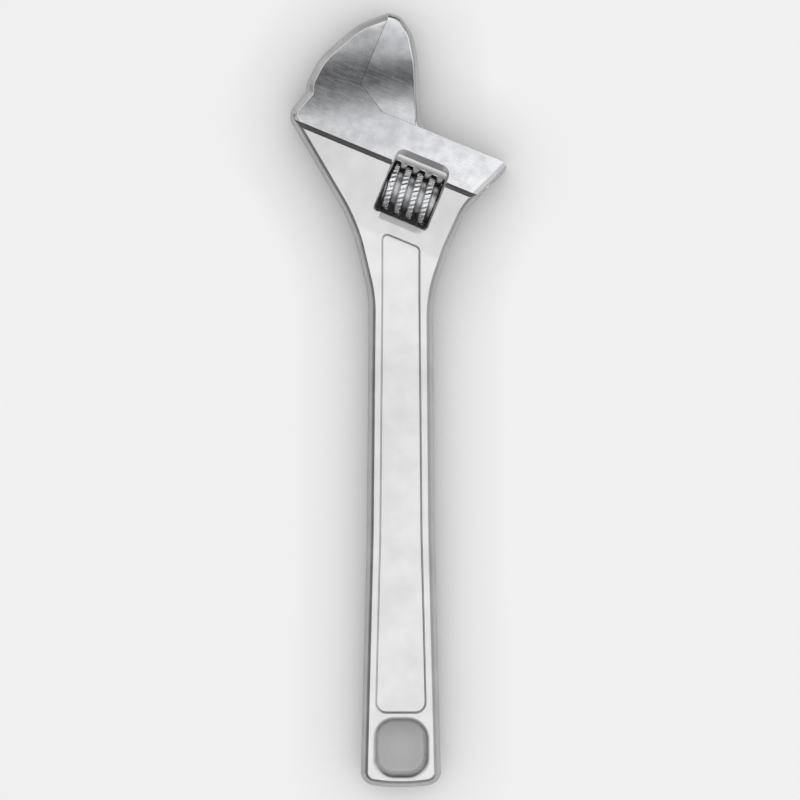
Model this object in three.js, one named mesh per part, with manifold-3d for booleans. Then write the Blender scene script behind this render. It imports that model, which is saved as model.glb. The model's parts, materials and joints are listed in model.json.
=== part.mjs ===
// Adjustable wrench, 300 mm class: a forged body with its fixed jaw, a sliding jaw whose rack is driven
// by a knurled worm, the screwed pin that the worm turns on, and the worm's spring.
// Millimetres. The part lies flat: X across the handle, Y along it towards the jaws, Z up through the
// thickness, with the origin under the middle of the whole part.
// Everything is drawn in the slide's own frame: u is the way the jaw opens, v points out of the slide
// along the jaw faces, w is the thickness. u, v = 0, 0 is where the closed jaw faces meet the slide line.
import * as THREE from "three";
import { mergeVertices } from "three/addons/utils/BufferGeometryUtils.js";
import Module from "manifold-3d";

const wasm = await Module();
wasm.setup();

const arcStep = THREE.MathUtils.degToRad(10); // how finely rounded corners are drawn

// Named clearances
const slideGap = 0.3; // jaw to slide, rack to bore, web to slot
const turnGap = 0.3; // pin in worm and body, spring in its pocket
const toothGap = 0.25; // rack flank to worm flank
const wormEndGap = 0.5; // worm end to window wall
const boreEndGap = 1; // rack end to the blind end of its bore

// Handle
const headAngle = THREE.MathUtils.degToRad(22.5); // slide line against the line across the handle
const slideReach = 269.9; // handle end to the slide origin, along the handle
const slideOffset = 18.5; // handle axis to the slide origin, across the handle
const neckWidth = 25.2;
const neckBelow = 76.9; // slide origin to the narrowest place, along the handle
const waistWidth = 26.8;
const waistReach = 100;
const endWidth = 31.6;
const endCrown = 2.6; // how far the rounded end stands out past its corners
const endCornerRadius = 5.5;
const neckHalfThickness = 6.2;
const endHalfThickness = 5.4;

// Handle panel, recessed in both faces, and the hanging hole
const panelDepth = 2.1; // below the handle's own surface, all along
const rimWidth = 4.2;
const panelWallSlope = 0.7; // width of the drafted wall round the panel
const panelWallHeight = 1.6;
const panelEndReach = 30.6; // handle end to the panel's lower end
const panelCornerRadius = 3;
const hangWidth = 17.4;
const hangLength = 19.2;
const hangReach = 16.6; // handle end to the hole's middle
const hangCornerRadius = 6;

// Head
const headHalfThickness = 10;
const jawHalfThickness = 8.5; // ground faces, 1.5 mm below the cheeks
const edgeRound = 1.2;
const stepReach = 16.4; // slide line to the end of the ground band
const throatHeight = 7; // of the 30 degree slope in the corner of the mouth
const throatAngle = THREE.MathUtils.degToRad(30);
const jawHeight = 36.8; // slide line to the top of the fixed jaw
const tipRadius = 1.6;
const tipPoint = 2.5; // how far the unrounded tip would stand above the jaw
const headRight = 66.6; // jaw face to the end of the slide
const headLeft = 21.9; // jaw face to the outer corner of the head
const headSide = 57; // jaw face to the side of the head beside the worm
const cheekEnd = 43; // slide line to the end of the full-thickness cheeks
const rampEnd = 76; // slide line to where the handle's own thickness starts

// Worm, its pin and spring
const wormRadius = 9.8;
const wormLength = 20.2;
const wormMiddle = 34.5; // jaw face to the worm's middle
const wormDepth = 25.4; // slide line to the worm's axis
const pitch = 5;
const threadDepth = 2.8;
const crestWidth = 2;
const flankWidth = 0.75;
const crestStart = THREE.MathUtils.degToRad(-46.8); // azimuth of the crest at the worm's left end
const pinRadius = 3;
const pinHeadStep = 1; // the head's radius over the shank's
const pinHeadLength = 7.4;
const pinHeadSink = 0.6; // below the side of the head
const pinTipDepth = 4.4; // how far the pin's tip sits in the far wall
const pinSlotWidth = 1.2;
const pinSlotDepth = 1.4;
const springWire = 1;
const springInnerGap = 0.7; // pin to the inside of the coil
const springTurns = 3.2;
const springPocketDepth = 7;

// Window round the worm
const windowBelow = 1; // worm crest to the wall on the handle side
const windowAbove = 1; // how far the window's upper wall lies below the rack's axis
const windowFlare = 1.7; // width of the sloping lead-in at both faces
const windowFlareDepth = 3.4;
const windowCornerRadius = 1.2;
const flareStart = 0.3; // the lead-in's tool starts this far inside the straight wall

// Sliding jaw
const jawHeel = 28.7; // jaw face to the heel
const jawTip = 38; // slide line to the tip, a little past the fixed jaw's
const rackRadius = 6;
const rackTipGap = 0.8; // rack tooth tip to worm root
const rackRootGap = 0.5; // worm crest to rack groove
const rackOverrun = 1; // how far the rack runs past the worm with the jaws closed
const travel = 36;
const leastMesh = 11.6; // length of rack still over the worm with the jaws open
const webHalfWidth = 2.8;
const webSetBack = 1.5; // start of the web before the foot of the throat's slope

const wormLeft = wormMiddle - wormLength / 2;
const wormRight = wormMiddle + wormLength / 2;
const windowLeft = wormLeft - wormEndGap;
const windowRight = wormRight + wormEndGap;
const rackTipDepth = wormDepth - wormRadius + threadDepth - rackTipGap;
const rackDepth = rackTipDepth - rackRadius; // slide line to the rack's axis
const rackLeft = wormRight - travel - leastMesh;
const rackRight = wormRight + rackOverrun;
const rackToothDepth = threadDepth - rackTipGap + rackRootGap;
const windowTop = -rackDepth - windowAbove;
const windowBottom = -wormDepth - wormRadius - windowBelow;
const neckReach = slideReach - neckBelow;
const springRadius = pinRadius + springInnerGap + springWire / 2;
const pinHeadRadius = pinRadius + pinHeadStep;
const throatRun = throatHeight / Math.tan(throatAngle);
const webLeft = throatRun - webSetBack;
const boreRadius = rackRadius + slideGap;
const pinHeadRight = headSide - pinHeadSink;
const pinHeadLeft = pinHeadRight - pinHeadLength;
const springPocketRadius = springRadius + springWire / 2 + turnGap;

// Lays what is made along z along u instead, with its x and y along v and w.
const alongU = new THREE.Matrix4().makeBasis(
  new THREE.Vector3(0, 1, 0),
  new THREE.Vector3(0, 0, 1),
  new THREE.Vector3(1, 0, 0),
);

// A point given across and along the handle, in the slide's frame.
function fromHandle(across, along) {
  const point = new THREE.Vector2(across + slideOffset, along - slideReach);
  return point.rotateAround(new THREE.Vector2(), headAngle);
}

// A closed outline with its corners rounded by arcs: each corner is u, v and radius.
function roundedShape(corners) {
  const points = corners.flatMap(([u, v, radius], i) => {
    const here = new THREE.Vector2(u, v);
    const before = corners[(i + corners.length - 1) % corners.length];
    const after = corners[(i + 1) % corners.length];
    const back = new THREE.Vector2(before[0], before[1]).sub(here).normalize();
    const ahead = new THREE.Vector2(after[0], after[1]).sub(here).normalize();
    if (radius === 0) return [here];
    const half = Math.acos(THREE.MathUtils.clamp(back.dot(ahead), -1, 1)) / 2;
    const middle = back.clone().add(ahead).setLength(radius / Math.sin(half)).add(here);
    const start = here.clone().addScaledVector(back, radius / Math.tan(half));
    const turn = (Math.PI - 2 * half) * (back.cross(ahead) > 0 ? -1 : 1);
    const steps = Math.ceil(Math.abs(turn) / arcStep);
    return Array.from({ length: steps + 1 }, (_, k) =>
      start.clone().rotateAround(middle, (turn * k) / steps));
  });
  return new THREE.Shape(points);
}

// An outline in u and v, extruded evenly to both sides of w = 0, with rounded edges where asked.
function plate(shape, halfThickness, edge = 0) {
  const geometry = new THREE.ExtrudeGeometry(shape, {
    depth: 2 * (halfThickness - edge),
    bevelEnabled: edge > 0,
    bevelThickness: edge,
    bevelSize: edge,
    bevelOffset: -edge,
    bevelSegments: 2,
  });
  return geometry.translate(0, 0, edge - halfThickness);
}

function block(u0, u1, v0, v1, w0, w1) {
  const geometry = new THREE.BoxGeometry(u1 - u0, v1 - v0, w1 - w0);
  return geometry.translate((u0 + u1) / 2, (v0 + v1) / 2, (w0 + w1) / 2);
}

// A round bar along u, at a given v.
function bar(radius, u0, u1, v, segments = 28) {
  const geometry = new THREE.CylinderGeometry(radius, radius, u1 - u0, segments);
  return geometry.rotateZ(-Math.PI / 2).translate((u0 + u1) / 2, v, 0);
}

function solid(geometry) {
  const bare = new THREE.BufferGeometry().setAttribute("position", geometry.getAttribute("position"));
  if (geometry.index) bare.setIndex(geometry.index);
  const merged = mergeVertices(bare, 1e-4);
  return new wasm.Manifold(
    new wasm.Mesh({
      numProp: 3,
      vertProperties: merged.getAttribute("position").array,
      triVerts: new Uint32Array(merged.index.array),
    }),
  );
}

function join(...pieces) {
  return pieces.reduce((whole, piece) => whole.add(piece));
}

function cut(whole, ...tools) {
  return tools.reduce((rest, tool) => rest.subtract(tool), whole);
}

function named(name, manifold, material) {
  const { vertProperties, triVerts } = manifold.getMesh();
  const geometry = new THREE.BufferGeometry();
  geometry.setAttribute("position", new THREE.BufferAttribute(vertProperties, 3));
  geometry.setIndex(new THREE.BufferAttribute(triVerts, 1));
  geometry.computeVertexNormals();
  const mesh = new THREE.Mesh(geometry, material);
  mesh.name = name;
  return mesh;
}

const satinChrome = () =>
  new THREE.MeshStandardMaterial({ color: 0xbfc1c4, roughness: 0.38, metalness: 1 });
const polishedChrome = () =>
  new THREE.MeshStandardMaterial({ color: 0xd3d5d8, roughness: 0.16, metalness: 1 });
const platedWorm = () =>
  new THREE.MeshStandardMaterial({ color: 0x9b9ca0, roughness: 0.34, metalness: 1 });
const plainSteel = () =>
  new THREE.MeshStandardMaterial({ color: 0x86878a, roughness: 0.42, metalness: 1 });
const springSteel = () =>
  new THREE.MeshStandardMaterial({ color: 0x55565a, roughness: 0.4, metalness: 1 });

// ---- Body: head, fixed jaw and handle in one forging ----

function handleSide(side) {
  const corners = [
    [side * neckWidth / 2, neckReach, 45],
    [side * waistWidth / 2, waistReach, 500],
    [side * endWidth / 2, endCrown, endCornerRadius],
  ];
  return corners.map(([across, along, radius]) => [...fromHandle(across, along), radius]);
}

function bodyOutline() {
  return roundedShape([
    [headRight, 0, 2.4],
    [throatRun, 0, 0],
    [0, throatHeight, 0],
    [0, jawHeight + tipPoint, tipRadius],
    [-10, 28.3, 24],
    [-19, 10.3, 22],
    [-19.7, -0.5, 3],
    [-18.5, -3.8, 0],
    [-headLeft, -14.9, 2.5],
    [17.7, -45.1, 60],
    ...handleSide(-1),
    [...fromHandle(0, 0), 60],
    ...handleSide(1).reverse(),
    [headSide - 0.3, -40, 35],
    [headSide + 0.3, -22.5, 18],
  ]);
}

// The thickness along the body, less a given depth, drawn in v and w and extruded across it.
function thicknessProfile(depth = 0) {
  const end = -slideReach - jawHeight;
  const half = [
    [2 * jawHeight, headHalfThickness - depth, 0],
    [-cheekEnd - 3, headHalfThickness - depth, 30],
    [-rampEnd, neckHalfThickness - depth, 60],
    [end, endHalfThickness - depth, 0],
  ];
  const mirrored = half.map(([v, w, radius]) => [v, -w, radius]).reverse();
  return plate(roundedShape([...half, ...mirrored]), headRight + slideReach).applyMatrix4(alongU);
}

// A recess whose walls open outwards over a depth from its floor and then run straight out of the face.
function flaredCutter(shape, flare, floor, depth, side) {
  const reach = headHalfThickness;
  const geometry = new THREE.ExtrudeGeometry(shape, {
    depth: reach,
    bevelEnabled: true,
    bevelThickness: depth,
    bevelSize: flare,
    bevelSegments: 1,
  });
  return geometry.translate(0, 0, side > 0 ? floor + depth : -floor - depth - reach);
}

// The panel's recess keeps one depth below the surface, so the web left under it tapers with the handle.
function panelCutter(side) {
  const lowestFloor = endHalfThickness - panelDepth - 1;
  const recess = flaredCutter(panelShape(), panelWallSlope, lowestFloor, panelWallHeight, side);
  return cut(solid(recess), solid(thicknessProfile(panelDepth)));
}

function panelShape() {
  const inset = rimWidth + panelWallSlope;
  const topLeft = fromHandle(-neckWidth / 2 + inset, neckReach);
  const topRight = fromHandle(neckWidth / 2 - inset, neckReach);
  const along = new THREE.Vector2(0, 1).rotateAround(new THREE.Vector2(), headAngle);
  const panelTop = -cheekEnd - panelWallSlope;
  const atTop = (point) => point.clone().addScaledVector(along, (panelTop - point.y) / along.y);
  const lowerHalf = THREE.MathUtils.mapLinear(
    panelEndReach, waistReach, endCrown, waistWidth / 2, endWidth / 2) - inset;
  return roundedShape([
    [...atTop(topRight), 2],
    [...atTop(topLeft), 2],
    [...topLeft, 0],
    [...fromHandle(-waistWidth / 2 + inset, waistReach), 0],
    [...fromHandle(-lowerHalf, panelEndReach), panelCornerRadius],
    [...fromHandle(lowerHalf, panelEndReach), panelCornerRadius],
    [...fromHandle(waistWidth / 2 - inset, waistReach), 0],
    [...topRight, 0],
  ]);
}

function hangShape() {
  const across = hangWidth / 2;
  const along = hangLength / 2;
  return roundedShape([
    [...fromHandle(across, hangReach + along), hangCornerRadius],
    [...fromHandle(-across, hangReach + along), hangCornerRadius],
    [...fromHandle(-across, hangReach - along), hangCornerRadius],
    [...fromHandle(across, hangReach - along), hangCornerRadius],
  ]);
}

function windowShape(grow) {
  const left = windowLeft - grow;
  const right = windowRight + grow;
  const top = windowTop + grow;
  const bottom = windowBottom - grow;
  const radius = windowCornerRadius + grow;
  return roundedShape([
    [right, top, radius],
    [left, top, radius],
    [left, bottom, radius],
    [right, bottom, radius],
  ]);
}

function makeBody() {
  const forging = solid(plate(bodyOutline(), headHalfThickness, edgeRound)).intersect(
    solid(thicknessProfile()),
  );
  const past = headRight + 5;
  const tools = [
    plate(hangShape(), headHalfThickness + 1),
    plate(windowShape(0), headHalfThickness + 1),
    bar(boreRadius, rackLeft - boreEndGap, past, -rackDepth, 32),
    block(webLeft - slideGap, past, -rackDepth, 5, -webHalfWidth - slideGap, webHalfWidth + slideGap),
    bar(pinRadius + turnGap, windowLeft - pinTipDepth - turnGap, past, -wormDepth),
    bar(pinHeadRadius + turnGap, pinHeadLeft - turnGap, past, -wormDepth),
  ];
  const recesses = [panelCutter(-1), panelCutter(1)];
  for (const side of [-1, 1]) {
    const near = side * jawHalfThickness;
    const far = side * (headHalfThickness + 2);
    tools.push(
      block(-headLeft - 5, past, -stepReach, jawHeight + 5, Math.min(near, far), Math.max(near, far)),
      flaredCutter(
        windowShape(-flareStart), windowFlare + flareStart,
        jawHalfThickness - windowFlareDepth, windowFlareDepth, side),
    );
  }
  return named("body", cut(forging, ...recesses, ...tools.map(solid)), satinChrome());
}

// ---- Sliding jaw with its web and rack ----

function jawOutline() {
  const rise = slideGap / Math.cos(throatAngle);
  return roundedShape([
    [slideGap, throatHeight + rise - slideGap * Math.tan(throatAngle), 0],
    [throatRun + slideGap * Math.tan(throatAngle / 2), slideGap, 0],
    [jawHeel + 2.6, slideGap, 0],
    [jawHeel - 0.9, slideGap + 1.4, 4],
    [17.5, 23.7, 16],
    [11.5, 32.9, 12],
    [4.4, jawTip, 4],
    [slideGap, jawTip, 0.8],
  ]);
}

// One groove between rack teeth, cut right across the rack at the worm's lead angle.
function rackGroove(middle) {
  const depthAt = (radius) => radius - wormDepth;
  const halfAt = (radius) =>
    crestWidth / 2 + flankWidth * (wormRadius - radius) / threadDepth + toothGap;
  const floor = wormDepth - rackTipDepth + rackToothDepth;
  const mouth = floor - rackToothDepth - 1;
  const shape = new THREE.Shape([
    new THREE.Vector2(-halfAt(mouth), depthAt(mouth)),
    new THREE.Vector2(halfAt(mouth), depthAt(mouth)),
    new THREE.Vector2(halfAt(floor), depthAt(floor)),
    new THREE.Vector2(-halfAt(floor), depthAt(floor)),
  ]);
  const lead = Math.atan(pitch / (2 * Math.PI * (wormRadius - threadDepth / 2)));
  return plate(shape, rackRadius + 2).rotateY(lead).translate(middle, 0, 0);
}

function rackGrooveMiddles() {
  const first = wormLeft - (crestStart / (2 * Math.PI)) * pitch;
  const fewest = Math.ceil((rackLeft - first) / pitch);
  const most = Math.floor((rackRight + crestWidth / 2 - first) / pitch);
  return Array.from({ length: most - fewest + 1 }, (_, i) => first + (fewest + i) * pitch);
}

function makeMovingJaw() {
  const jaw = join(
    solid(plate(jawOutline(), jawHalfThickness, 0.5)),
    solid(block(webLeft, rackRight, -rackDepth, -slideGap, -webHalfWidth, webHalfWidth)),
    solid(block(throatRun + 1, jawHeel, -rackDepth, 1, -webHalfWidth, webHalfWidth)),
    solid(bar(rackRadius, rackLeft, rackRight, -rackDepth, 32)),
  );
  const grooves = rackGrooveMiddles().map((middle) => solid(rackGroove(middle)));
  return named("moving_jaw", cut(jaw, ...grooves), polishedChrome());
}

// ---- Worm, pin and spring ----

function layOnPinAxis(geometry, start) {
  return geometry.applyMatrix4(alongU).translate(start, -wormDepth, 0);
}

// The thread's radius at a distance along u from the middle of its crest.
function threadRadius(offset) {
  const away = Math.abs(offset - pitch * Math.round(offset / pitch)) - crestWidth / 2;
  return wormRadius - threadDepth * THREE.MathUtils.clamp(away / flankWidth, 0, 1);
}

const threadSteps = 20; // per turn

// The section square to the axis is one spiral lobe. Turned once for each pitch, it sweeps the thread.
function threadGeometry() {
  const section = new THREE.Shape(
    Array.from({ length: threadSteps }, (_, i) => {
      const azimuth = (2 * Math.PI * i) / threadSteps;
      const radius = threadRadius(((azimuth - crestStart) / (2 * Math.PI)) * pitch);
      return new THREE.Vector2(radius * Math.cos(azimuth), radius * Math.sin(azimuth));
    }),
  );
  const geometry = new THREE.ExtrudeGeometry(section, {
    depth: wormLength,
    steps: Math.round((threadSteps * wormLength) / pitch),
    bevelEnabled: false,
  });
  const place = geometry.getAttribute("position");
  const point = new THREE.Vector3();
  const axis = new THREE.Vector3(0, 0, 1);
  for (let i = 0; i < place.count; i += 1) {
    point.fromBufferAttribute(place, i);
    point.applyAxisAngle(axis, (2 * Math.PI * point.z) / pitch);
    place.setXYZ(i, point.x, point.y, point.z);
  }
  return geometry;
}

function makeWorm() {
  const thread = solid(layOnPinAxis(threadGeometry(), wormLeft));
  const bore = solid(bar(pinRadius + turnGap, wormLeft - 1, wormRight + 1, -wormDepth));
  const pocket = solid(
    bar(springPocketRadius, wormLeft - 1, wormLeft + springPocketDepth, -wormDepth),
  );
  return named("worm", cut(thread, bore, pocket), platedWorm());
}

function makeWormPin() {
  const tip = windowLeft - pinTipDepth;
  const pin = join(
    solid(bar(pinRadius, tip, pinHeadRight - 1, -wormDepth)),
    solid(bar(pinHeadRadius, pinHeadLeft, pinHeadRight, -wormDepth)),
  );
  const slotHalf = pinSlotWidth / 2;
  const slot = block(
    pinHeadRight - pinSlotDepth, pinHeadRight + 1, -wormDepth - slotHalf, -wormDepth + slotHalf,
    -pinHeadRadius - 1, pinHeadRadius + 1);
  return named("worm_pin", cut(pin, solid(slot)), plainSteel());
}

class Helix extends THREE.Curve {
  constructor(radius, turns, height) {
    super();
    Object.assign(this, { radius, turns, height });
  }

  getPoint(t, target = new THREE.Vector3()) {
    const angle = 2 * Math.PI * this.turns * t;
    return target.set(
      this.radius * Math.cos(angle), this.radius * Math.sin(angle), this.height * t);
  }
}

// The spring pushes between the pocket's floor in the worm and the window's wall.
function makeWormSpring() {
  const room = wormEndGap + springPocketDepth - 2 * turnGap;
  const wire = new THREE.Shape().absarc(0, 0, springWire / 2, 0, 2 * Math.PI);
  const geometry = new THREE.ExtrudeGeometry(wire, {
    steps: Math.round(springTurns * 14),
    curveSegments: 3,
    extrudePath: new Helix(springRadius, springTurns, room - 2 * springWire),
  });
  layOnPinAxis(geometry, windowLeft + turnGap + springWire);
  return named("worm_spring", solid(geometry), springSteel());
}

// ---- The whole wrench ----

const head = new THREE.Group();
head.add(makeBody(), makeMovingJaw(), makeWorm(), makeWormPin(), makeWormSpring());
head.rotation.z = -headAngle;

const wrench = new THREE.Group();
wrench.name = "adjustable_wrench";
wrench.add(head);
const box = new THREE.Box3().setFromObject(wrench, true);
head.position.set(-(box.min.x + box.max.x) / 2, -(box.min.y + box.max.y) / 2, -box.min.z);

export default wrench;
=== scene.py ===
import json
import math

import bmesh
import bpy
from mathutils import Matrix, Vector


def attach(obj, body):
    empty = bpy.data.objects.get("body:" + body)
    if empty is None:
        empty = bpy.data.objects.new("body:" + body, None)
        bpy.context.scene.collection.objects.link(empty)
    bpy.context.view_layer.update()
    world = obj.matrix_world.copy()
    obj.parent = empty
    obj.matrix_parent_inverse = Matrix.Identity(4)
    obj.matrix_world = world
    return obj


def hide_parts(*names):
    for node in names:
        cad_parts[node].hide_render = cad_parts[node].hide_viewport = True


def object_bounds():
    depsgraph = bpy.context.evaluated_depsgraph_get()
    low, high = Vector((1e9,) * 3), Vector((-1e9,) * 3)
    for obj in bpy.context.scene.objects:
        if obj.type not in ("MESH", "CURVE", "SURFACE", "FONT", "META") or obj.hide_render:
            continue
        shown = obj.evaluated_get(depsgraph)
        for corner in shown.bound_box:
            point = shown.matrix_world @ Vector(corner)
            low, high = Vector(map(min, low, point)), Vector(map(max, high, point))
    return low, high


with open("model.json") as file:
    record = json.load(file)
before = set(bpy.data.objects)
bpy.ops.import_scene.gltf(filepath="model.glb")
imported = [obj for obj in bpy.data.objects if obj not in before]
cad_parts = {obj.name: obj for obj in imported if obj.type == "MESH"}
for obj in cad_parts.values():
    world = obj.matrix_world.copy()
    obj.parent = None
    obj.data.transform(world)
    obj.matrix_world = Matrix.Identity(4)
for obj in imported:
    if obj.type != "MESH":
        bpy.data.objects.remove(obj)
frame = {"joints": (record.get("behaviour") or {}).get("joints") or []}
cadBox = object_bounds()

# Everything is modelled in millimetres in the slide's frame and placed in metres at the end:
# x runs along the slide the way the jaw opens, y out along the jaw faces, z up through the thickness.
wrench = {
    "wormMiddle": 34.5,     # closed jaw face to the worm's middle
    "wormDepth": 25.4,      # slide to the worm's axis
    "rackDepth": 11.6,      # slide to the rack's axis
    "pitch": 5.0,           # of worm and rack
    "slideReach": 269.9,    # handle end to the slide's origin, along the handle
    "slideOffset": 18.5,    # handle axis to the slide's origin, across the handle
    "halfThickness": 10.0,  # cheeks
    "jawHalf": 8.5,         # ground jaws
    "throatHeight": 7.0,
    "throatRun": 7.0 / math.tan(math.radians(30)),
    "softEdge": 0.3,        # what a buffed edge is rounded by
    "softFrom": 28,         # degrees that an edge turns by before it is rounded
    "facetTurn": 3.0,       # degrees between the facets of a rounded corner
    "turnedSteps": 96,      # facets round a turned solid
    "smoothBelow": 35,      # degrees between faces that are shaded as one surface
    "levelFrom": 0.985,     # upright share of a face's normal from which the face is level
}
# How close things are, in millimetres, before they are merged or dropped.
weld = {"point": 1e-4, "cut": 2e-4, "seam": 1e-3, "sliver": 0.01, "crumb": 0.015}

joints = {joint["name"]: joint for joint in frame["joints"]}
slideAxis = Vector(joints["jaw_slide"]["axis"])
outAxis = Vector((0, 0, 1)).cross(slideAxis)
headTilt = math.atan2(-slideAxis.y, slideAxis.x)
slideOrigin = (
    Vector(joints["worm_spin"]["pos_m"])
    - slideAxis * wrench["wormMiddle"] / 1000
    + outAxis * wrench["wormDepth"] / 1000
)
place = (
    Matrix.Translation(slideOrigin)
    @ Matrix.Rotation(-headTilt, 4, "Z")
    @ Matrix.Scale(0.001, 4)
)
handleUp = Matrix.Rotation(headTilt, 3, "Z") @ Vector((0, 1, 0))  # from the handle towards the jaws


# A point given across and along the handle, in the slide's frame.
def fromHandle(across, along):
    point = Vector((across + wrench["slideOffset"], along - wrench["slideReach"], 0))
    return (Matrix.Rotation(headTilt, 3, "Z") @ point)[:2]


# One face from a few corners (x, y, radius), with every rounded corner bevelled.
def roundedFace(bm, corners):
    spots = [Vector((x, y, 0)) for x, y, radius in corners]
    verts = [bm.verts.new(spot) for spot in spots]
    bm.faces.new(verts)
    for i, (x, y, radius) in enumerate(corners):
        if not radius:
            continue
        back = spots[i - 1] - spots[i]
        ahead = spots[(i + 1) % len(spots)] - spots[i]
        turn = math.pi - back.angle(ahead)
        bmesh.ops.bevel(
            bm, geom=[verts[i]], affect="VERTICES", offset=radius * math.tan(turn / 2),
            offset_type="OFFSET", profile=0.5, material=-1,
            segments=max(2, math.ceil(math.degrees(turn) / wrench["facetTurn"])))
    bm.faces.ensure_lookup_table()
    bm.normal_update()
    return bm.faces[0]


# A solid that rises from an outline in steps of (inset, rise), starting at floor. It is closed with a
# cap under its foot, or by a mirror at z = 0: "mirror" has its foot there and "mirrorTop" its top.
# down turns it over.
def stack(corners, steps, floor=0.0, close="cap", down=False):
    bm = bmesh.new()
    face = roundedFace(bm, corners)
    if close == "mirrorTop":
        steps = [*steps, (0, -floor - sum(rise for inset, rise in steps))]
    for inset, rise in steps:
        bmesh.ops.inset_region(
            bm, faces=[face], thickness=inset, depth=rise, use_even_offset=True, use_boundary=True)
    if close == "mirrorTop":
        bmesh.ops.delete(bm, geom=[face], context="FACES_ONLY")
    if close in ("cap", "mirrorTop"):
        foot = [edge for edge in bm.edges
                if edge.is_boundary and all(vert.co.z < weld["point"] for vert in edge.verts)]
        bmesh.ops.holes_fill(bm, edges=foot, sides=0)
    bmesh.ops.translate(bm, verts=bm.verts, vec=(0, 0, floor))
    if down:
        bmesh.ops.scale(bm, verts=bm.verts, vec=(1, 1, -1))
    if close in ("mirror", "mirrorTop"):
        bmesh.ops.mirror(
            bm, geom=bm.verts[:] + bm.edges[:] + bm.faces[:], axis="Z", merge_dist=weld["seam"])
    bmesh.ops.recalc_face_normals(bm, faces=bm.faces)
    return bm


def prism(corners, low, high):
    return stack(corners, [(0, high - low)], floor=low)


def box(x0, x1, y0, y1, z0, z1):
    bm = bmesh.new()
    bmesh.ops.create_cube(bm, size=1)
    bmesh.ops.scale(bm, verts=bm.verts, vec=(x1 - x0, y1 - y0, z1 - z0))
    bmesh.ops.translate(bm, verts=bm.verts, vec=((x0 + x1) / 2, (y0 + y1) / 2, (z0 + z1) / 2))
    return bm


# A solid turned about the line along x at y, from a profile of (x, radius) that starts and ends on it.
def turned(profile, y):
    bm = bmesh.new()
    verts = [bm.verts.new((x, y + radius, 0)) for x, radius in profile]
    edges = [bm.edges.new(pair) for pair in zip(verts, verts[1:])]
    bmesh.ops.spin(
        bm, geom=verts + edges, cent=(0, y, 0), axis=(1, 0, 0), angle=math.tau,
        steps=wrench["turnedSteps"], use_merge=True)
    bmesh.ops.remove_doubles(bm, verts=bm.verts, dist=weld["point"])
    bmesh.ops.recalc_face_normals(bm, faces=bm.faces)
    return bm


def asObject(bm, name):
    mesh = bpy.data.meshes.new(name)
    bm.to_mesh(mesh)
    bm.free()
    made = bpy.data.objects.new(name, mesh)
    bpy.context.scene.collection.objects.link(made)
    return made


# Runs a change on the mesh of an object.
def reshape(piece, change):
    bm = bmesh.new()
    bm.from_mesh(piece.data)
    change(bm)
    bm.to_mesh(piece.data)
    bm.free()


def tidySeams(bm):
    bmesh.ops.remove_doubles(bm, verts=bm.verts, dist=weld["cut"])
    bmesh.ops.dissolve_degenerate(bm, edges=bm.edges, dist=weld["point"])


# Cuts the other solids from the target, or joins them to it, and tidies the seams.
def combine(target, others, operation="DIFFERENCE"):
    for other in others:
        change = target.modifiers.new("combine", "BOOLEAN")
        change.operation = operation
        change.solver = "EXACT"
        change.object = other
    bpy.context.view_layer.update()
    result = bpy.data.meshes.new_from_object(
        target.evaluated_get(bpy.context.evaluated_depsgraph_get()))
    target.modifiers.clear()
    target.data = result
    result.materials.clear()
    for other in others:
        bpy.data.objects.remove(other)
    reshape(target, tidySeams)


# Adds a line of vertices right round the solid where a plane passes through it.
def cutAt(bm, point, normal):
    bmesh.ops.bisect_plane(
        bm, geom=bm.verts[:] + bm.edges[:] + bm.faces[:], plane_co=point, plane_no=normal,
        dist=weld["point"])


# Rounds every sharp edge a little, as buffing does.
def softenEdges(bm):
    bmesh.ops.remove_doubles(bm, verts=bm.verts, dist=weld["crumb"])
    bmesh.ops.dissolve_degenerate(bm, edges=bm.edges, dist=weld["sliver"])
    least = math.radians(wrench["softFrom"])
    sharp = [edge for edge in bm.edges
             if len(edge.link_faces) == 2 and edge.calc_face_angle(0) > least]
    bmesh.ops.bevel(
        bm, geom=sharp, affect="EDGES", offset=wrench["softEdge"], offset_type="OFFSET",
        segments=2, profile=0.5, material=-1, clamp_overlap=True, loop_slide=True)


# Places a piece, shades it, gives it its materials and ties it to its CAD body.
def finishPiece(piece, body, node, materials):
    piece.data.transform(place)
    for material in materials:
        piece.data.materials.append(material)
    piece.data.polygons.foreach_set("use_smooth", [True] * len(piece.data.polygons))
    piece.data.set_sharp_from_angle(angle=math.radians(wrench["smoothBelow"]))
    weighted = piece.modifiers.new("weighted", "WEIGHTED_NORMAL")
    weighted.keep_sharp = True
    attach(piece, body)
    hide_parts(node)
    return piece


# sRGB hex to the linear colour that a shader takes.
def linear(hexColour):
    channels = [int(hexColour[i:i + 2], 16) / 255 for i in (1, 3, 5)]
    return [c / 12.92 if c <= 0.04045 else ((c + 0.055) / 1.055) ** 2.4 for c in channels] + [1.0]


# Adds a node. Settings are its own properties, and inputs are values or the sockets that feed it,
# by name or by number as i0, i1 and so on.
def addNode(tree, kind, settings=None, **inputs):
    node = tree.nodes.new(kind)
    for name, value in (settings or {}).items():
        setattr(node, name, value)
    for name, value in inputs.items():
        key = int(name[1:]) if name[1:].isdigit() else name.replace("_", " ")
        socket = node.inputs[key]
        if isinstance(value, bpy.types.NodeSocket):
            tree.links.new(value, socket)
        else:
            socket.default_value = value
    return node


def startMaterial(name):
    material = bpy.data.materials.new(name)
    material.use_nodes = True
    tree = material.node_tree
    tree.nodes.clear()
    coordinates = addNode(tree, "ShaderNodeTexCoord").outputs["Object"]
    return material, tree, coordinates


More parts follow.
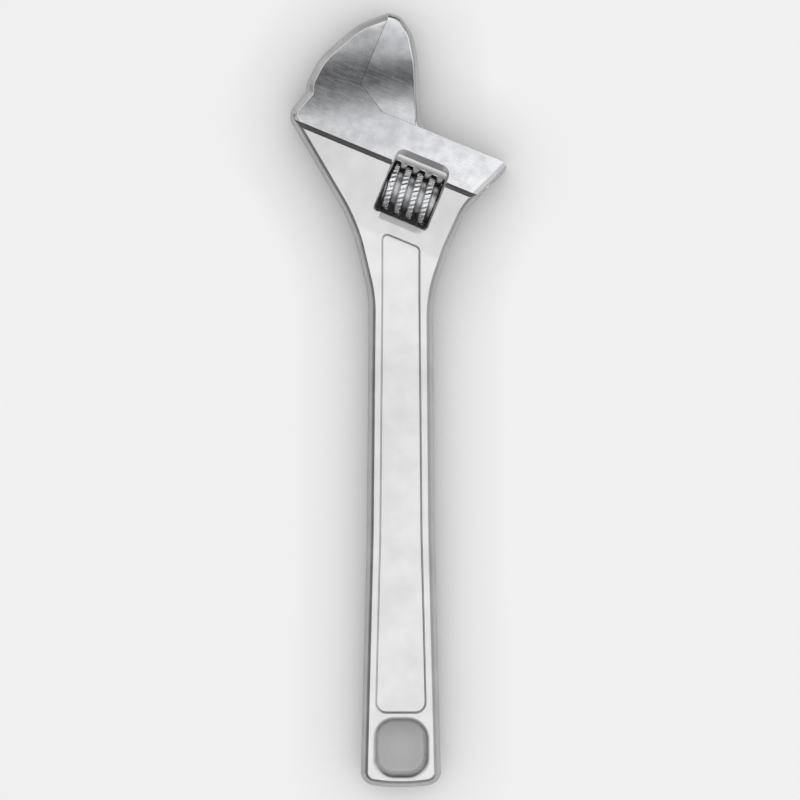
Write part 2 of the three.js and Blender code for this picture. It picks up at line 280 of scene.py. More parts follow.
def endMaterial(tree, colour, roughness, bumpHeight, bumpDepth):
    bump = addNode(tree, "ShaderNodeBump", Strength=1.0, Distance=bumpDepth, Height=bumpHeight)
    shader = addNode(
        tree, "ShaderNodeBsdfPrincipled", Base_Color=colour, Metallic=1.0, Roughness=roughness,
        Normal=bump.outputs["Normal"])
    addNode(tree, "ShaderNodeOutputMaterial", Surface=shader.outputs["BSDF"])


# Carries a value from the range lowest to highest over to low to high.
def ramp(tree, value, low, high, lowest=0.0, highest=1.0):
    mapped = addNode(
        tree, "ShaderNodeMapRange", i0=value, i1=lowest, i2=highest, i3=low, i4=high)
    return mapped.outputs["Result"]


# Noise with features of about a size given in millimetres.
def noise(tree, coordinates, size, detail=2.0, roughness=0.5):
    return addNode(
        tree, "ShaderNodeTexNoise", Vector=coordinates, Scale=1000 / size, Detail=detail,
        Roughness=roughness).outputs["Fac"]


def mixColours(tree, factor, first, second):
    mix = addNode(
        tree, "ShaderNodeMix", {"data_type": "RGBA"}, i0=factor, i6=linear(first), i7=linear(second))
    return mix.outputs[2]


# Nickel-chrome plate over a bead-blasted forging: pale, evenly matt, faintly mottled.
def satinChromeOnForging():
    grit = {
        "blast": 0.6,                 # mm, coarser than real grit so that it shows
        "mottle": 14.0,               # mm
        "depth": 0.000004,            # m
        "roughness": (0.28, 0.33),
    }
    material, tree, coordinates = startMaterial("satinChromeOnForging")
    mottle = noise(tree, coordinates, grit["mottle"], detail=3.0)
    blast = noise(tree, coordinates, grit["blast"], detail=2.0, roughness=0.6)
    colour = mixColours(tree, ramp(tree, mottle, 0, 1, 0.35, 0.65), "#e8e8e9", "#f6f6f6")
    endMaterial(tree, colour, ramp(tree, mottle, *grit["roughness"], 0.3, 0.7), blast, grit["depth"])
    return material


# Chrome plate over a face finished on a surface grinder: bright, with fine lines along the stroke.
def groundChrome():
    stroke = {
        "line": 0.35,                 # mm, coarser than real grinding lines so that they show
        "length": 9.0,                # mm
        "cloud": 4.5,                 # mm
        "depth": 0.0000022,           # m
        "roughness": (0.07, 0.12),
    }
    material, tree, coordinates = startMaterial("groundChrome")
    turnedIn = addNode(
        tree, "ShaderNodeMapping", Vector=coordinates, Rotation=(0, 0, headTilt)).outputs["Vector"]
    stretched = addNode(
        tree, "ShaderNodeMapping", Vector=turnedIn,
        Scale=(stroke["line"] / stroke["length"], 1, 1)).outputs["Vector"]
    lines = noise(tree, stretched, stroke["line"], detail=3.0, roughness=0.7)
    cloud = noise(tree, coordinates, stroke["cloud"], detail=4.0)
    colour = mixColours(tree, ramp(tree, cloud, 0, 1, 0.35, 0.65), "#e2e3e6", "#f6f8fc")
    endMaterial(tree, colour, ramp(tree, lines, *stroke["roughness"], 0.35, 0.65), lines, stroke["depth"])
    return material


# Turned and knurled steel with thin plating: bright on the crests, darker down in the thread, where the
# darker colour is painted shade.
def platedKnurl():
    knurlShadeAndMarks = {
        "cut": 0.3,                   # mm, the tool's marks, coarser than real ones
        "depth": 0.000008,            # m
        "paintedShadeTo": 0.0072,               # m from the worm's axis, where the painted shade in the thread starts to fade
        "paintedShadeOff": 0.0094,             # and where it has faded out
        "roughness": (0.36, 0.2),
    }
    material, tree, coordinates = startMaterial("platedKnurl")
    centred = addNode(
        tree, "ShaderNodeMapping", Vector=coordinates,
        Location=[-c for c in joints["worm_spin"]["pos_m"]]).outputs["Vector"]
    aligned = addNode(
        tree, "ShaderNodeMapping", Vector=centred, Rotation=(0, 0, headTilt)).outputs["Vector"]
    split = addNode(tree, "ShaderNodeSeparateXYZ", Vector=aligned)
    acrossAxis = addNode(
        tree, "ShaderNodeCombineXYZ", Y=split.outputs["Y"], Z=split.outputs["Z"]).outputs["Vector"]
    radius = addNode(
        tree, "ShaderNodeVectorMath", {"operation": "LENGTH"}, i0=acrossAxis).outputs["Value"]
    height = ramp(tree, radius, 0.0, 1.0, knurlShadeAndMarks["paintedShadeTo"], knurlShadeAndMarks["paintedShadeOff"])
    grain = noise(tree, coordinates, knurlShadeAndMarks["cut"], detail=3.0)
    # Painted shade: the colour darkens from the crest down into the thread.
    colour = mixColours(tree, height, "#cfd0d2", "#fafafb")
    endMaterial(tree, colour, ramp(tree, height, *knurlShadeAndMarks["roughness"]), grain, knurlShadeAndMarks["depth"])
    return material


# Plain turned steel with a film of oil: mid grey, with the tool's fine marks.
def turnedSteel():
    film = {"grain": 0.4, "depth": 0.000008, "roughness": (0.3, 0.45)}  # mm, m
    material, tree, coordinates = startMaterial("turnedSteel")
    grain = noise(tree, coordinates, film["grain"], detail=3.0)
    colour = mixColours(tree, grain, "#8f9093", "#a9aaac")
    endMaterial(tree, colour, ramp(tree, grain, *film["roughness"]), grain, film["depth"])
    return material


# Drawn spring wire: dark grey and smooth.
def springWire():
    drawn = {"grain": 0.3, "depth": 0.000005, "roughness": (0.3, 0.42)}  # mm, m
    material, tree, coordinates = startMaterial("springWire")
    grain = noise(tree, coordinates, drawn["grain"])
    colour = mixColours(tree, grain, "#55565a", "#6b6c70")
    endMaterial(tree, colour, ramp(tree, grain, *drawn["roughness"]), grain, drawn["depth"])
    return material


satin = satinChromeOnForging()
ground = groundChrome()
print("materials made")


body = {
    "neck": (12.6, 193.0),      # half width of the handle, and its distance from the handle's end
    "waist": (13.4, 100.0),
    "end": (15.8, 2.6),
    # (inset, rise) up the sides from the middle: first the draft, then round into the face
    "handleEdge": [
        (0.3, 5.0), (0.4, 2.3), (0.4, 1.1), (0.5, 0.68), (0.9, 0.77), (0.3, 0.12), (0.1, 0.03)],
    "jawEdge": [(0.3, 4.5), (0.35, 2.0), (0.35, 0.9), (0.3, 0.4), (1.5, 0.6), (0.3, 0.1)],
    "roundFrom": 5.0,           # below the face, where an edge starts to round
    "neckHalf": 6.2,            # half thickness at the neck
    "endHalf": 5.4,             # and at the handle's end
    "slopeTop": (-46.0, 1.9),   # y where the head starts to thin, and the reach of the bend there
    "slopeFoot": (-76.0, 3.7),  # y where the handle's own thickness starts
    "taperLength": 230.9,       # along y from there to the handle's end
    "stepLow": -15.7,           # foot of the step between ground band and cheeks
    "stepHigh": -18.0,          # and its top
    "crownFrom": -8.0,          # where the jaw starts to thin towards its tip
    "crown": 0.00076,           # by this times the square of the distance
    "panelDepth": 2.1,
    "rim": 4.9,                 # handle's side to the panel
    "panelTop": -43.0,          # y of the panel's top line
    "panelFoot": 30.0,          # handle's end to the panel's foot
    "hangHalf": (8.7, 9.6),     # half width and half length of the hanging hole
    "hangReach": 16.6,          # handle's end to its middle
    "hangRadius": 6.0,
    "hangFlare": 3.0,           # how far it widens at the faces
    "window": (23.9, 45.1, -36.2, -12.6),  # left, right, handle side and jaw side
    "windowRadius": 1.2,
    "rackBore": 6.3,
    "slotHalf": 3.1,            # for the jaw's web
    "pinBore": 3.3,
    "pinHeadBore": 4.3,
}


def handleSide(side):
    spots = [(*body["neck"], 45), (*body["waist"], 500), (*body["end"], 5.5)]
    return [(*fromHandle(side * across, along), radius) for across, along, radius in spots]


# Outlines as corners of (x, y, radius).
headBack = [(-19.7, -0.5, 7), (-18.5, -3.8, 0)]
leftCorner = (-22.15, -14.9, 4.8)
slideEnd = (66.6, 0, 0)
handleLine = [
    leftCorner,
    (17.7, -45.1, 60),
    *handleSide(-1),
    (*fromHandle(0, 0), 60),
    *handleSide(1)[::-1],
    (56.7, -40, 35),
    (57.3, -22.5, 18),
]
jawLine = [
    (58.75, -19, 0),
    (71.15, 11, 0),
    (31, 14, 8),
    (17.5, 23.7, 16),
    (11.5, 32.9, 12),
    (4.4, 37.7, 5.7),
    (0.3, 38.1, 5.4),
    (-10, 28.3, 24),
    (-19, 10.3, 22),
    *headBack,
    leftCorner,
    (-15.4, -19.2, 0),
]


# How far a surface has dropped at y past a bend that is rounded over its reach.
def bend(y, at, reach, change):
    past = at + reach - y
    if past <= 0:
        return 0.0
    return change * past * past / (4 * reach) if past < 2 * reach else change * (past - reach)


# Half thickness of cheeks and handle: level, then a slope, then the handle's slight taper.
def handleHalf(y):
    half, neck, end = wrench["halfThickness"], body["neckHalf"], body["endHalf"]
    top, foot = body["slopeTop"], body["slopeFoot"]
    slope = (half - neck) / (top[0] - foot[0])
    taper = (neck - end) / body["taperLength"]
    return half - bend(y, *top, slope) + bend(y, *foot, slope - taper)


# Brings the even blank to its real thickness. The rounded edges near the faces keep their shape.
def thinHandle(bm):
    full, solid = wrench["halfThickness"], body["roundFrom"]
    for at, reach in (body["slopeTop"], body["slopeFoot"]):
        for share in (-1, -0.5, 0, 0.5, 1):
            cutAt(bm, (0, at + share * reach, 0), (0, 1, 0))
    for z in (-solid, solid):
        cutAt(bm, (0, 0, z), (0, 0, 1))
    for vert in bm.verts:
        drop = full - handleHalf(vert.co.y)
        high = abs(vert.co.z)
        high = high - drop if high >= full - solid else high * (full - solid - drop) / (full - solid)
        vert.co.z = math.copysign(high, vert.co.z)


# Half thickness of a jaw: level at the slide, then crowned down a little to the tip.
def jawFaceHalf(lift, crown, start):
    return wrench["jawHalf"] - crown * max(0.0, lift - start) ** 2


# Thins a jaw towards its tip. Lines of equal thickness run straight across the wrench.
def crownJaw(bm, crown, start):
    cuts, spacing = 21, 2.3
    for k in range(cuts):
        cutAt(bm, handleUp * (start + k * spacing), handleUp)
    for vert in bm.verts:
        vert.co.z *= jawFaceHalf(vert.co.dot(handleUp), crown, start) / wrench["jawHalf"]


# The recess in the handle's face.
def panelCorners():
    neck, neckReach = body["neck"]
    waist, waistReach = body["waist"]
    end, endReach = body["end"]
    rim, foot = body["rim"], body["panelFoot"]
    top = []
    for side in (1, -1):
        low = Vector((*fromHandle(side * (neck - rim), neckReach), 0))
        top.append((*(low + handleUp * ((body["panelTop"] - low.y) / handleUp.y))[:2], 2.6))
    footHalf = end - (end - waist) * (foot - endReach) / (waistReach - endReach) - rim
    return [
        *top,
        (*fromHandle(rim - neck, neckReach), 0),
        (*fromHandle(rim - waist, waistReach), 0),
        (*fromHandle(-footHalf, foot), 4.5),
        (*fromHandle(footHalf, foot), 4.5),
        (*fromHandle(waist - rim, waistReach), 0),
        (*fromHandle(neck - rim, neckReach), 0),
    ]


def hangCorners(grow):
    across, along = (half + grow for half in body["hangHalf"])
    spots = [(across, along), (-across, along), (-across, -along), (across, -along)]
    return [(*fromHandle(x, body["hangReach"] + y), body["hangRadius"] + grow) for x, y in spots]


def windowCorners(side, top, bottom):
    left, right, low, high = body["window"]
    left, right, low, high = left - side, right + side, low - bottom, high + top
    radius = body["windowRadius"] + max(side, top)
    return [(x, y, radius) for x, y in ((right, high), (left, high), (left, low), (right, low))]


# Head and handle in one, with the panels and the hanging hole.
def makeBlank():
    depth = body["panelDepth"]
    blank = asObject(stack(
        [*handleLine, slideEnd, headBack[1]], body["handleEdge"], close="mirror"), "wrenchBody")
    start = -wrench["halfThickness"] - 0.99  # just outside the face
    wall = [
        (0, 1.0), (0.1, 0.03), (0.15, 0.15), (0.1, 0.25),
        (0.15, depth - 1.0), (0.12, 0.3), (0.2, 0.2), (0.25, 0.07)]
    panels = [
        asObject(stack(panelCorners(), wall, floor=start, down=down), "panel")
        for down in (False, True)]
    rounded = [(0, 1.0), (0.5, 0.06), (0.8, 0.3), (0.8, 0.65), (0.5, 0.9), (0.4, 1.7)]
    hang = asObject(
        stack(hangCorners(body["hangFlare"]), rounded, floor=start, close="mirrorTop"), "hang")
    combine(blank, [*panels, hang])
    reshape(blank, thinHandle)
    print("handle thinned", len(blank.data.polygons))
    return blank


# Takes the blank away above the step's slope, where the thinner jaw plate goes on.
def cutBand(blank):
    foot, top = body["stepLow"], body["stepHigh"]
    half = [
        (-14, 60, 0), (-14, top - 0.9, 0),
        (-wrench["halfThickness"], top, 0.6), (-wrench["jawHalf"], foot, 0.7)]
    section = half + [(-x, y, radius) for x, y, radius in half[::-1]]
    band = prism(section, -90, 90)
    bmesh.ops.rotate(
        band, verts=band.verts, cent=(0, 0, 0), matrix=Matrix.Rotation(-math.pi / 2, 3, "Y"))
    bmesh.ops.recalc_face_normals(band, faces=band.faces)
    combine(blank, [asObject(band, "band")])
    print("band cut", len(blank.data.polygons))


# The fixed jaw and the ground band that the moving jaw slides on.
def makePlate():
    bm = stack(jawLine, body["jawEdge"], close="mirror")
    crownJaw(bm, body["crown"], body["crownFrom"])
    plate = asObject(bm, "plate")
    clear = 8  # how far the cutter runs past the plate's edge
    back = Vector((-10, -11, 0)).normalized() * clear
    side = Vector((-9.3, -22.5, 0)).normalized() * clear
    mouth = [
        (0, wrench["throatHeight"], 0),
        (wrench["throatRun"], 0, 0),
        (66.4, 0, 2.4),
        (66.4 + side.x, side.y, 0),
        (80, side.y, 0),
        (80, 60, 0),
        (-14, 60, 0),
        (back.x - 0.5, 39.8 + back.y, 0),
        (0, 38.3, 0.7),
    ]
    combine(plate, [asObject(prism(mouth, -12, 12), "mouth")])
    print("mouth cut", len(plate.data.polygons))
    return plate


# The worm's window with its thumb scoops, the rack's bore and slot, and the pin's hole.
def cutOpenings(forging):
    over = 0.6  # how far outside a face its cutters start
    flare = [(0, 0.61), (0.2, 0.08), (0.25, 0.22), (0.3, 0.6), (0.25, 1.4)]
    scoop = [(0, 0.61), (0.25, 0.05), (2.4, 0.95), (0.5, 0.5), (0.3, 0.9)]
    brow = [(0, 0.61), (0.2, 0.06), (2.3, 1.45), (0.3, 0.9)]
    cheek, ground = -wrench["halfThickness"] - over, -wrench["jawHalf"] - over
    tools = [stack(windowCorners(1.0, 1.0, 1.0), flare, floor=cheek, close="mirrorTop")]
    for steps, top, bottom, floor in ((scoop, 2.9, 2.9, cheek), (brow, 2.6, -14, ground)):
        for down in (False, True):
            tools.append(stack(windowCorners(0.9, top, bottom), steps, floor=floor, down=down))
    outside, rack, pinDepth = 75, -wrench["rackDepth"], -wrench["wormDepth"]
    bore, pinBore, headBore = body["rackBore"], body["pinBore"], body["pinHeadBore"]
    tools.append(turned([(-4, 0), (-4, bore), (outside, bore), (outside, 0)], rack))
    tools.append(box(10.32, outside, rack, 5, -body["slotHalf"], body["slotHalf"]))
    tools.append(turned([
        (18.5, 0), (19.2, pinBore), (48.7, pinBore), (48.7, headBore),
        (outside, headBore), (outside, 0)], pinDepth))
    combine(forging, [asObject(tool, "opening") for tool in tools])
    print("window and bores cut", len(forging.data.polygons))


# Soft edges, and ground chrome on the ground faces only.
def finishBodyFaces(bm):
    softenEdges(bm)
    for face in bm.faces:
        middle = face.calc_center_median()
        isTop = abs(face.normal.z) > wrench["levelFrom"] and abs(middle.z) < 8.6
        isFace = abs(face.normal.z) < 0.1 and middle.x > -0.2 and face.calc_area() > 30
        face.material_index = int(middle.y > -16.2 and (isTop or isFace))


def makeBody():
    forging = makeBlank()
    cutBand(forging)
    combine(forging, [makePlate()], "UNION")
    print("joined", len(forging.data.polygons))
    cutOpenings(forging)
    reshape(forging, finishBodyFaces)
    return finishPiece(forging, "body", "body", [satin, ground])


wrenchBody = makeBody()
print("body made", len(wrenchBody.data.polygons))


jaw = {
    "gap": 0.12,           # to the fixed jaw and the slide, as closed jaws show it
    "backRound": 2.4,      # width and height of the rounding from the jaw's back into its face
    "backRise": 4.0,
    "draft": (0.3, 4.5),   # inset and height of the straight part below it
    "roundSteps": 9,
    "crownFrom": -3.0,     # where it starts to thin towards its tip
    "crown": 0.0011,       # by this times the square of the distance
    "rackRadius": 6.0,
    "rackLeft": -3.0,
    "rackRight": 45.6,
    "rackChamfer": 0.6,
    "webHalf": 2.8,
    "firstGroove": 0.05,   # x of a groove's middle
    "grooves": range(-1, 10),
    "meshRadius": 8.4,     # of the worm, where its lead angle is taken
}


# Steps of (inset, rise) up a drafted side and round a quarter ellipse into the face.
def roundedSteps():
    draft, segments = jaw["draft"], jaw["roundSteps"]
    steps = [draft]
    for k in range(segments):
        low, high = (math.radians(90) * n / segments for n in (k, k + 1))
        steps.append((
            (jaw["backRound"] - draft[0]) * (math.cos(low) - math.cos(high)),
            jaw["backRise"] * (math.sin(high) - math.sin(low))))
    return steps


# One groove between teeth, cut across the rack at the worm's lead angle.
def rackGroove(middle):
    corners = [(-2.05, -18.6, 0), (2.05, -18.6, 0), (1.12, -15.1, 0.3), (-1.12, -15.1, 0.3)]
    bm = prism(corners, -8, 8)
    lead = math.atan(wrench["pitch"] / (math.tau * jaw["meshRadius"]))
    bmesh.ops.rotate(bm, verts=bm.verts, cent=(0, 0, 0), matrix=Matrix.Rotation(lead, 3, "Y"))
    bmesh.ops.translate(bm, verts=bm.verts, vec=(middle, 0, 0))
    return bm


# The web that runs in the slide's slot, with the rack along its foot.
def makeRack():
    half, depth, cut = jaw["webHalf"], wrench["rackDepth"], jaw["rackChamfer"]
    left, right, radius = jaw["rackLeft"], jaw["rackRight"], jaw["rackRadius"]
    web = asObject(box(10.62, right - cut, -depth, -jaw["gap"], -half, half), "web")
    stem = asObject(box(13.12, 28.7, -depth, 1.5, -half, half), "stem")
    rack = asObject(turned([
        (left, 0), (left, radius - cut), (left + cut, radius), (right - cut, radius),
        (right, radius - cut), (right, 0)], -depth), "rack")
    combine(web, [stem, rack], "UNION")
    combine(web, [
        asObject(rackGroove(jaw["firstGroove"] + wrench["pitch"] * k), "groove")
        for k in jaw["grooves"]])
    return web


# Soft edges, and ground chrome on the faces that are ground: both sides and the foot.
def finishJawFaces(bm):
    softenEdges(bm)
    for face in bm.faces:
        middle = face.calc_center_median()
        isTop = abs(face.normal.z) > wrench["levelFrom"] and middle.y > 0
        face.material_index = int(isTop or -5 < middle.y < 0.4)


def makeMovingJaw():
    gap = jaw["gap"]
    outline = [
        (36, -12, 0),
        (36, -1.6, 0),
        (27.8, 1.7, 4),
        (17.5, 23.7, 16),
        (11.5, 32.9, 12),
        (4.4, 37.7, 5.7),
        (-8, 36.4, 0),
        (-8, -12, 0),
    ]
    blank = stack(outline, roundedSteps(), close="mirror")
    crownJaw(blank, jaw["crown"], jaw["crownFrom"])
    piece = asObject(blank, "movingJaw")
    rise = gap / math.cos(math.radians(30)) - gap * math.tan(math.radians(30))
    waste = [
        (gap, 60, 0),
        (-30, 60, 0),
        (-30, -30, 0),
        (60, -30, 0),
        (60, gap, 0),
        (wrench["throatRun"] + gap * math.tan(math.radians(15)), gap, 0),
        (gap, wrench["throatHeight"] + rise, 0),
    ]
    combine(piece, [asObject(prism(waste, -12, 12), "waste")])
    combine(piece, [makeRack()], "UNION")
    reshape(piece, finishJawFaces)
    return finishPiece(piece, "jaw", "moving_jaw", [satin, ground])


movingJaw = makeMovingJaw()
print("moving jaw made", len(movingJaw.data.polygons))


worm = {
    "radius": 9.8,
    "length": 20.2,
    "rootRadius": 7.0,
    "crest": 2.2,          # width of the rib's top
    "flank": 0.65,         # and of each of its slopes
    "fillet": 0.25,
    "crestStart": -46.8,   # degrees, azimuth of the crest at the left end
    "bore": 3.3,
    "pocket": 5.0,         # radius of the spring's pocket
    "pocketDepth": 7.0,
    "chamfer": 0.9,
    "knurls": 26,          # notches round the crest
    "knurlDepth": 0.36,
    "knurlSlant": 0.3,     # notches that a notch leans by in each millimetre along the worm
    "knurlSharpness": 4.2,
    "perTurn": 260,        # facets
}


# A helical thread: a one-pitch profile of (x, radius) screwed along x, longer than the worm.
def threadSolid(profile, cent):
    pitch, perTurn = wrench["pitch"], worm["perTurn"]
    turns = math.ceil(worm["length"] / pitch) + 2
    bm = bmesh.new()
    verts = [bm.verts.new((x, cent + radius, 0)) for x, radius in profile]
    edges = [bm.edges.new(pair) for pair in zip(verts, verts[1:])]
    bmesh.ops.spin(
        bm, geom=verts + edges, cent=(0, cent, 0), axis=(1, 0, 0), angle=math.tau * turns,
        dvec=(pitch / perTurn, 0, 0), steps=perTurn * turns)
    bmesh.ops.remove_doubles(bm, verts=bm.verts, dist=weld["seam"])
    return bm


# Presses the notches into the crest.
def knurlCrest(bm, cent):
    for vert in bm.verts:
        across = Vector((0, vert.co.y - cent, vert.co.z))
        if across.length > worm["radius"] - 0.4:
            turn = math.atan2(across.z, across.y) / math.tau
            phase = (turn * worm["knurls"] + vert.co.x * worm["knurlSlant"]) % 1.0
            notch = max(0.0, 1 - abs(phase - 0.5) * worm["knurlSharpness"])
            vert.co -= across.normalized() * worm["knurlDepth"] * notch


def makeWorm():
    pitch, radius, root = wrench["pitch"], worm["radius"], worm["rootRadius"]
    cent = -wrench["wormDepth"]
    left = wrench["wormMiddle"] - worm["length"] / 2
    right = left + worm["length"]
    half, flank = worm["crest"] / 2, worm["flank"]
    side = [
        (pitch / 2, root),
        (half + flank + worm["fillet"], root),
        (half + flank, root + 0.06),
        (half + flank * 0.8, root + 0.45),
        (half + 0.12, radius - 0.32),
        (half - 0.1, radius - 0.06),
        (half - 0.35, radius),
        (0.3, radius),
    ]
    profile = [(-x, r) for x, r in side] + [(0.0, radius)] + side[::-1]
    start = left - 2 * pitch - worm["crestStart"] / 360 * pitch
    bm = threadSolid([(x + start, r) for x, r in profile], cent)
    knurlCrest(bm, cent)
    for x, out in ((left - 0.5, -1), (right + 0.5, 1)):
        bmesh.ops.bisect_plane(
            bm, geom=bm.verts[:] + bm.edges[:] + bm.faces[:], plane_co=(x, 0, 0),
            plane_no=(out, 0, 0), dist=weld["point"], clear_outer=True)
    bmesh.ops.holes_fill(bm, edges=[edge for edge in bm.edges if edge.is_boundary], sides=0)
    bmesh.ops.recalc_face_normals(bm, faces=bm.faces)
    piece = asObject(bm, "wormScrew")
    # its ends, bore and pocket, as a turned blank
    cut, bore, pocket = worm["chamfer"], worm["bore"], worm["pocket"]
    deep = left + worm["pocketDepth"]
    blank = turned([
        (left, pocket + 0.3),
        (left, radius - cut * 1.6),
        (left + cut, radius + 0.2),
        (right - cut, radius + 0.2),
        (right, radius - cut * 1.6),
        (right, bore + 0.4),
        (right - 0.4, bore),
        (deep, bore),
        (deep, pocket),
        (left + 0.3, pocket),
        (left, pocket + 0.3),
    ], cent)
    combine(piece, [asObject(blank, "blank")], "INTERSECT")
    return finishPiece(piece, "worm", "worm", [platedKnurl()])


wormPiece = makeWorm()
print("worm made", len(wormPiece.data.polygons))


pin = {
    "radius": 3.0,
    "left": 19.5,
    "headLeft": 49.0,
    "headRight": 56.4,
    "headRadius": 4.0,
    "chamfer": 0.5,
    "slotHalf": 0.6,
    "slotDepth": 1.4,
    "threadPitch": 0.9,
    "threadDepth": 0.4,
}


def makePin():
    left, right, radius, head = pin["left"], pin["headRight"], pin["radius"], pin["headRadius"]
    shoulder, root, axis = pin["headLeft"], head - pin["threadDepth"], -wrench["wormDepth"]
    profile = [
        (left, 0), (left, radius - pin["chamfer"]), (left + pin["chamfer"], radius),
        (shoulder, radius), (shoulder, root)]
    rings = int((right - 0.8 - shoulder) / pin["threadPitch"])
    for k in range(rings):
        x = shoulder + 0.2 + k * pin["threadPitch"]
        profile += [(x + 0.3, head), (x + 0.45, head), (x + 0.75, root)]
    profile += [(right - 0.7, head), (right - 0.3, head), (right, head - 0.3), (right, 0)]
    piece = asObject(turned(profile, axis), "wormPin")
    half = pin["slotHalf"]
    slot = box(right - pin["slotDepth"], right + 1, axis - half, axis + half, -6, 6)
    combine(piece, [asObject(slot, "slot")])
    return finishPiece(piece, "body", "worm_pin", [turnedSteel()])


wormPin = makePin()
print("pin made", len(wormPin.data.polygons))


spring = {
    "wire": 1.0,
    "wireFacets": 14,
    "radius": 4.2,         # axis to the middle of the wire
    "turns": 3.2,
    "left": 24.2,
    "room": 6.9,           # length of the pocket that it fills
    "perTurn": 48,         # facets
}


def makeSpring():
    wire, depth = spring["wire"], wrench["wormDepth"]
    rise = spring["room"] - 2 * wire
    steps = round(spring["turns"] * spring["perTurn"])
    bm = bmesh.new()
    bmesh.ops.create_circle(bm, cap_ends=False, segments=spring["wireFacets"], radius=wire / 2)
    bmesh.ops.translate(
        bm, verts=bm.verts, vec=(spring["left"] + wire, spring["radius"] - depth, 0))
    bmesh.ops.spin(
        bm, geom=bm.verts[:] + bm.edges[:], cent=(0, -depth, 0), axis=(1, 0, 0),
        angle=math.tau * spring["turns"], dvec=(rise / steps, 0, 0), steps=steps)
    bmesh.ops.holes_fill(bm, edges=[edge for edge in bm.edges if edge.is_boundary], sides=0)
    bmesh.ops.recalc_face_normals(bm, faces=bm.faces)
    piece = asObject(bm, "wormSpring")
    return finishPiece(piece, "body", "worm_spring", [springWire()])


wormSpring = makeSpring()
print("spring made", len(wormSpring.data.polygons))


studio = {
    "floorSize": 4.0,
    "floorDrop": 0.0002,     # below the wrench
    "floorColour": "#f4f4f4",
    "floorGlow": 0.75,       # share of the floor that the camera sees as a glow, with the painted shadow near the wrench
    "shadowReach": 0.03,
    "distance": 2.0,         # camera above the middle of the wrench
    "fieldHeight": 0.3136,   # what the view takes in at that distance
    "viewShift": 0.001,
    "strength": 1.15,
    # How bright the room is by direction: an axis, the part of its range, and (place, brightness) along it.
    # The narrow ranges hold what a ramp over the full range is too coarse for.
    "falloff": [
        ("Z", -1, 1, [(0, 0.3), (0.3, 0.36), (0.5, 0.5), (0.75, 0.87), (0.92, 1)]),
        ("Y", -1, 1, [
            (-1, 0.4), (-0.6, 0.45), (-0.3, 0.92), (0, 1), (0.24, 0.95), (0.5, 0.88),
            (0.66, 0.5), (0.78, 0.08), (1, 0.04)]),
        ("Y", 0.04, 0.26, [
            (0.046, 1), (0.055, 0.76), (0.065, 0.54), (0.083, 0.3), (0.097, 0.15),
            (0.108, 0.06), (0.124, 0.06), (0.14, 0.12), (0.15, 0.28), (0.156, 0.66),
            (0.164, 0.56), (0.19, 0.53), (0.21, 0.8), (0.24, 1)]),
        ("X", -1, 1, [(-1, 0.3), (-0.8, 0.34), (-0.6, 0.62), (-0.3, 0.97), (0, 1)]),
        ("X", -0.06, 0.02, [
            (-0.06, 1), (-0.02, 0.72), (-0.011, 0.64), (-0.006, 0.66), (-0.001, 0.86),
            (0.003, 1)]),
    ],
}


# Pale paper, softly darker close to the wrench: the camera sees a glow darkened by ambient occlusion, a
# painted shadow.
def makeFloor():
    bm = bmesh.new()
    bmesh.ops.create_grid(bm, x_segments=1, y_segments=1, size=studio["floorSize"] / 2)
    floor = asObject(bm, "floor")
    floor.data.transform(Matrix.Translation((0, 0, cadBox[0].z - studio["floorDrop"])))
    material = bpy.data.materials.new("paperFloor")
    material.use_nodes = True
    tree = material.node_tree
    tree.nodes.clear()
    paper = addNode(tree, "ShaderNodeBsdfDiffuse", Color=linear(studio["floorColour"]))
    paintedShadow = addNode(
        tree, "ShaderNodeAmbientOcclusion", {"samples": 8}, Distance=studio["shadowReach"])
    # Painted shadow: the glow is white where the floor is open and darker where the wrench is close.
    glow = addNode(tree, "ShaderNodeEmission", Color=paintedShadow.outputs["Color"], Strength=1.0)
    seen = addNode(tree, "ShaderNodeLightPath").outputs["Is Camera Ray"]
    share = addNode(
        tree, "ShaderNodeMath", {"operation": "MULTIPLY"}, i0=seen, i1=studio["floorGlow"]).outputs[0]
    mix = addNode(
        tree, "ShaderNodeMixShader", i0=share, i1=paper.outputs[0], i2=glow.outputs[0])
    addNode(tree, "ShaderNodeOutputMaterial", Surface=mix.outputs[0])
    floor.data.materials.append(material)


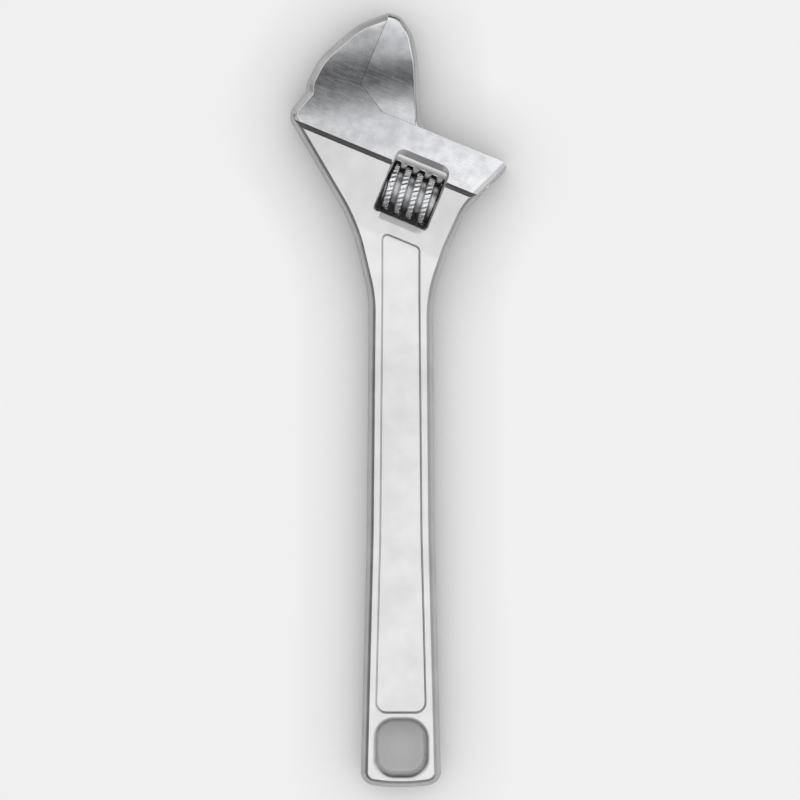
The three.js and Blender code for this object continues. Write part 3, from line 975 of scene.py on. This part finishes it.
# A white room, brightest overhead, dimmer towards the floor, the two ends and the side at -X, with a
# narrow dark zone a little way off the vertical towards +Y.
def makeWorld():
    world = bpy.data.worlds.new("studio")
    bpy.context.scene.world = world
    world.use_nodes = True
    tree = world.node_tree
    tree.nodes.clear()
    direction = addNode(tree, "ShaderNodeTexCoord").outputs["Generated"]
    split = addNode(tree, "ShaderNodeSeparateXYZ", Vector=direction)
    light = None
    for axis, low, high, stops in studio["falloff"]:
        shade = addNode(tree, "ShaderNodeValToRGB", Fac=ramp(tree, split.outputs[axis], 0, 1, low, high))
        spots = [((at - low) / (high - low), [value] * 3 + [1]) for at, value in stops]
        elements = shade.color_ramp.elements
        elements[0].position, elements[0].color = spots[0]
        elements[-1].position, elements[-1].color = spots[-1]
        for position, colour in spots[1:-1]:
            elements.new(position).color = colour
        light = shade.outputs[0] if light is None else addNode(
            tree, "ShaderNodeMix", {"data_type": "RGBA", "blend_type": "MULTIPLY"}, i0=1.0,
            i6=light, i7=shade.outputs[0]).outputs[2]
    lit = addNode(tree, "ShaderNodeBackground", Color=light, Strength=studio["strength"])
    seen = addNode(tree, "ShaderNodeBackground", Color=(1, 1, 1, 1), Strength=1.0)
    isCamera = addNode(tree, "ShaderNodeLightPath").outputs["Is Camera Ray"]
    mix = addNode(
        tree, "ShaderNodeMixShader", i0=isCamera, i1=lit.outputs[0], i2=seen.outputs[0])
    addNode(tree, "ShaderNodeOutputWorld", Surface=mix.outputs[0])


# Straight above, with the handle's axis upright.
def makeCamera():
    camera = bpy.data.objects.new("camera", bpy.data.cameras.new("camera"))
    bpy.context.scene.collection.objects.link(camera)
    middle = (cadBox[0] + cadBox[1]) / 2
    camera.location = (middle.x + studio["viewShift"], middle.y, middle.z + studio["distance"])
    camera.data.lens = camera.data.sensor_width * studio["distance"] / studio["fieldHeight"]
    camera.data.clip_end = 100
    bpy.context.scene.camera = camera


makeFloor()
makeWorld()
makeCamera()
bpy.context.scene.view_settings.view_transform = "Standard"
